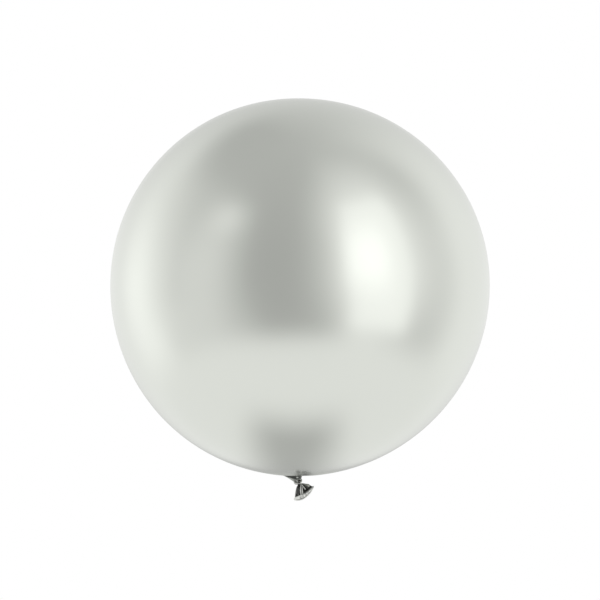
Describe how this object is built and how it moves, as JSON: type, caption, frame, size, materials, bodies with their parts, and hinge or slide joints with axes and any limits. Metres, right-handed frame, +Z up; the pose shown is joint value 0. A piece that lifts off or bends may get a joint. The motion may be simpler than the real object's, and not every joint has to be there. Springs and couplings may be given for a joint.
{
  "type": "tied round latex balloon",
  "caption": "Very large round balloon of metallic silver latex, blown up and tied off in its own neck, with a knot and a pleated tail that ends in a rolled lip.",
  "frame": {"origin": "the middle of the ball, at the mount named air", "axes": "+Z up, from the knot through the ball's middle to its top; +Y away from the picture's viewer; +X to the viewer's right"},
  "size_m": [0.6004, 0.6004, 0.6367],
  "materials": {
    "pearl_latex": "satin",
    "gathered_latex": "gloss",
    "knotted_latex": "gloss",
    "pleated_latex": "gloss",
    "rolled_latex": "satin"
  },
  "bodies": {
    "ball": {"envelope": "pearl_latex", "neck": "gathered_latex"},
    "knot": {"knot": "knotted_latex"},
    "tail": {"tail": "pleated_latex", "lip": "rolled_latex"}
  },
  "joints": [
    {"name": "knot_sway", "type": "hinge", "parent": "ball", "child": "knot", "pos_m": [-0.00115, -0.00032, -0.30285], "axis": [0, 1, 0], "range_deg": [-15, 15], "stiffness_Nm_per_rad": 0.002},
    {"name": "tail_flex", "type": "hinge", "parent": "knot", "child": "tail", "pos_m": [-0.0008, 0.00003, -0.31457], "axis": [0.8526, 0, 0.5225], "range_deg": [-25, 25], "stiffness_Nm_per_rad": 0.002}
  ]
}
